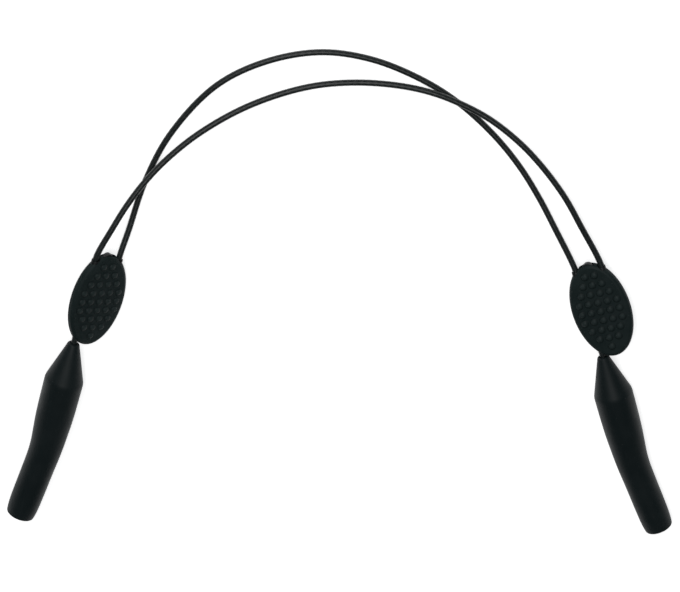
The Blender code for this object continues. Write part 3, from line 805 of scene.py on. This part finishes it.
def smooth_path(points, spacing):
    """Evenly spaced points on a Catmull-Rom curve through the given ones."""
    ends = [2 * points[0] - points[1]] + list(points) + [2 * points[-1] - points[-2]]
    dense = []
    for p0, p1, p2, p3 in zip(ends, ends[1:], ends[2:], ends[3:]):
        knots = [0.0]
        for a, b in ((p0, p1), (p1, p2), (p2, p3)):
            knots.append(knots[-1] + math.sqrt((b - a).length))
        t0, t1, t2, t3 = knots
        for step in range(CURVE_STEPS):
            t = t1 + (t2 - t1) * step / CURVE_STEPS
            a1 = p0.lerp(p1, (t - t0) / (t1 - t0))
            a2 = p1.lerp(p2, (t - t1) / (t2 - t1))
            a3 = p2.lerp(p3, (t - t2) / (t3 - t2))
            b1 = a1.lerp(a2, (t - t0) / (t2 - t0))
            b2 = a2.lerp(a3, (t - t1) / (t3 - t1))
            dense.append(b1.lerp(b2, (t - t1) / (t2 - t1)))
    dense.append(points[-1].copy())
    return even_path(dense, spacing)


def even_path(dense, spacing):
    """The same line as points a fixed distance apart."""
    lengths = np.concatenate([[0.0], np.cumsum([(b - a).length for a, b in zip(dense, dense[1:])])])
    count = max(2, round(lengths[-1] / spacing))
    wanted = np.linspace(0.0, lengths[-1], count + 1)
    rows = np.array(dense)
    return [Vector(p) for p in np.stack([np.interp(wanted, lengths, rows[:, k]) for k in range(3)], axis=1)]


def cable_stations(own, route, other, grip):
    """From the anchor in its own adjuster to the ferrule in the far grip."""
    points = [own @ Vector((CHANNEL_OFFSET, y * MM, 0.0)) for y in OWN_STATIONS]
    points += [Vector(p) * MM for p in route]
    points += [other @ Vector((-CHANNEL_OFFSET, y * MM, 0.0)) for y in OTHER_STATIONS]
    points += [grip @ grip_axis(d * MM)[0] for d in GRIP_STATIONS]
    return points


def ring_frames(path):
    """At each point of the path, its direction and a side direction that doesn't spin."""
    frames = []
    side = Vector((0, 0, 1))
    for i, point in enumerate(path):
        along = (path[min(i + 1, len(path) - 1)] - path[max(i - 1, 0)]).normalized()
        side = (side - along * side.dot(along)).normalized()
        frames.append((point, side.copy(), along.cross(side)))
    return frames


def add_tube(bm, path, radius, ridge, sides):
    """Rings of a laid cable along the path. Their vertices follow the strands."""
    layer = bm.verts.layers.float.get("rise") or bm.verts.layers.float.new("rise")
    travelled = 0.0
    rings = []
    for i, (point, side, across) in enumerate(ring_frames(path)):
        if i:
            travelled += (point - path[i - 1]).length
        twist = math.tau * travelled / LAY_LENGTH
        ring = []
        for k in range(sides):
            angle = math.tau * k / sides
            lift = math.cos(STRANDS * angle)
            reach = radius + ridge * (lift - 1.0)
            turned = angle + twist
            vert = bm.verts.new(point + reach * (math.cos(turned) * side + math.sin(turned) * across))
            # The rise marks the strand crests; the cable coating paints a highlight there.
            vert[layer] = 0.5 + 0.5 * lift if ridge else 0.0
            ring.append(vert)
        rings.append(ring)
    for lower, upper in zip(rings, rings[1:]):
        bridge(bm, lower, upper)
    return rings


def thinned(path, stride):
    """Every stride-th point of the path, and always its last."""
    return path[::stride] + ([path[-1]] if (len(path) - 1) % stride else [])


def jacket_mesh(path):
    """The coating: a tube with its wall, open at both ends."""
    def build(bm):
        outer = add_tube(bm, path, JACKET_RADIUS, STRAND_RIDGE, CABLE_SIDES)
        inner = add_tube(bm, thinned(path, INNER_STRIDE), JACKET_BORE_RADIUS, 0.0, CABLE_SIDES)
        bridge(bm, outer[0], inner[0])
        bridge(bm, outer[-1], inner[-1])
    mesh = mesh_from(build)
    add_length_map(mesh, path)
    return mesh


def add_length_map(mesh, path):
    """A UV map: u along the cable, v around it."""
    points = np.array(path)
    layer = mesh.uv_layers.new(name="length")
    corners = np.array([v.co for v in mesh.vertices])
    nearest = np.array([np.argmin(((points - c) ** 2).sum(1)) for c in corners])
    lengths = np.concatenate([[0.0], np.cumsum(np.linalg.norm(np.diff(points, axis=0), axis=1))])
    u = lengths[nearest]
    reach = np.linalg.norm(corners[:, :2] - points[nearest, :2], axis=1)
    v = np.arctan2(corners[:, 2] - points[nearest, 2], reach)
    for loop in mesh.loops:
        corner = loop.vertex_index
        layer.data[loop.index].uv = (u[corner] / MAP_LENGTH, v[corner] / math.tau)


def core_mesh(path):
    def build(bm):
        rings = add_tube(bm, path, STEEL_RADIUS, CORE_RIDGE, CORE_SIDES)
        bm.faces.new(rings[0])
        bm.faces.new(rings[-1])
    return mesh_from(build)


def add_cable(letter, own_side, other_side, places, grips, route, materials):
    """One cable: its span over the arch, and its tail from the far adjuster into that grip."""
    own, other, grip = places[own_side], places[other_side], grips[other_side]
    stations = cable_stations(own, route, other, grip)
    whole = smooth_path(stations, TAIL_STEP)
    inside = other.inverted()
    half = len(whole) // 2
    split = next(i for i in range(half, len(whole)) if (inside @ whole[i]).y < SPLIT_Y)
    span_path = even_path(whole[:split + 1], CABLE_STEP)
    tail_path = whole[split + SPLIT_GAP:]
    steel = materials["stainless_steel"]
    coating = materials["cable_coating"]

    core_path = span_path[::CORE_STRIDE] + [span_path[-1]]
    span_core = new_piece(f"cable_{letter}_span_core", core_mesh(core_path), steel)
    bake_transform(span_core)
    span = new_piece(f"cable_{letter}_span", jacket_mesh(span_path), coating)
    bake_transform(span)

    tail_core = new_piece(f"cable_{letter}_tail_core", core_mesh(tail_path), steel)
    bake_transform(tail_core)
    tail = new_piece(f"cable_{letter}_tail", jacket_mesh(tail_path), coating)
    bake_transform(tail)

    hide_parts(f"cable_{letter}_jacket")
    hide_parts(f"cable_{letter}_jacket")
    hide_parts(f"cable_{letter}_core")
    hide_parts(f"cable_{letter}_core")


def main():
    add_camera()
    add_stage()
    materials = {
        "pad_rubber": pad_rubber(),
        "grip_rubber": grip_rubber(),
        "frame_nylon": frame_nylon(),
        "sleeve_elastomer": sleeve_elastomer(),
        "stainless_steel": brushed_steel("stainless_steel", (1.0, 0.1, 1.0)),
        "cable_coating": cable_coating(),
    }
    places = {side: adjuster_frame(side) for side in ("left", "right")}
    grips = {side: grip_frame(side) for side in ("left", "right")}
    add_cable("a", "left", "right", places, grips, CABLE_A_ROUTE, materials)
    add_cable("b", "right", "left", places, grips, CABLE_B_ROUTE[::-1], materials)
    meshes = {
        "front_cover": cover_mesh(True),
        "back_cover": cover_mesh(False),
        "channel_frame": channel_frame_mesh(),
    }
    grip = mesh_from(grip_body)
    for side in ("left", "right"):
        add_adjuster(side, places[side], meshes, materials)
        add_grip(side, grips[side], grip, materials["grip_rubber"])
        for node, slot in (("friction_sleeve", "sleeve_elastomer"), ("anchor_ferrule", "stainless_steel"),
                           ("grip_ferrule", "stainless_steel")):
            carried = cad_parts[f"{side}_{node}"]
            carried.data.materials.clear()
            carried.data.materials.append(materials[slot])


main()
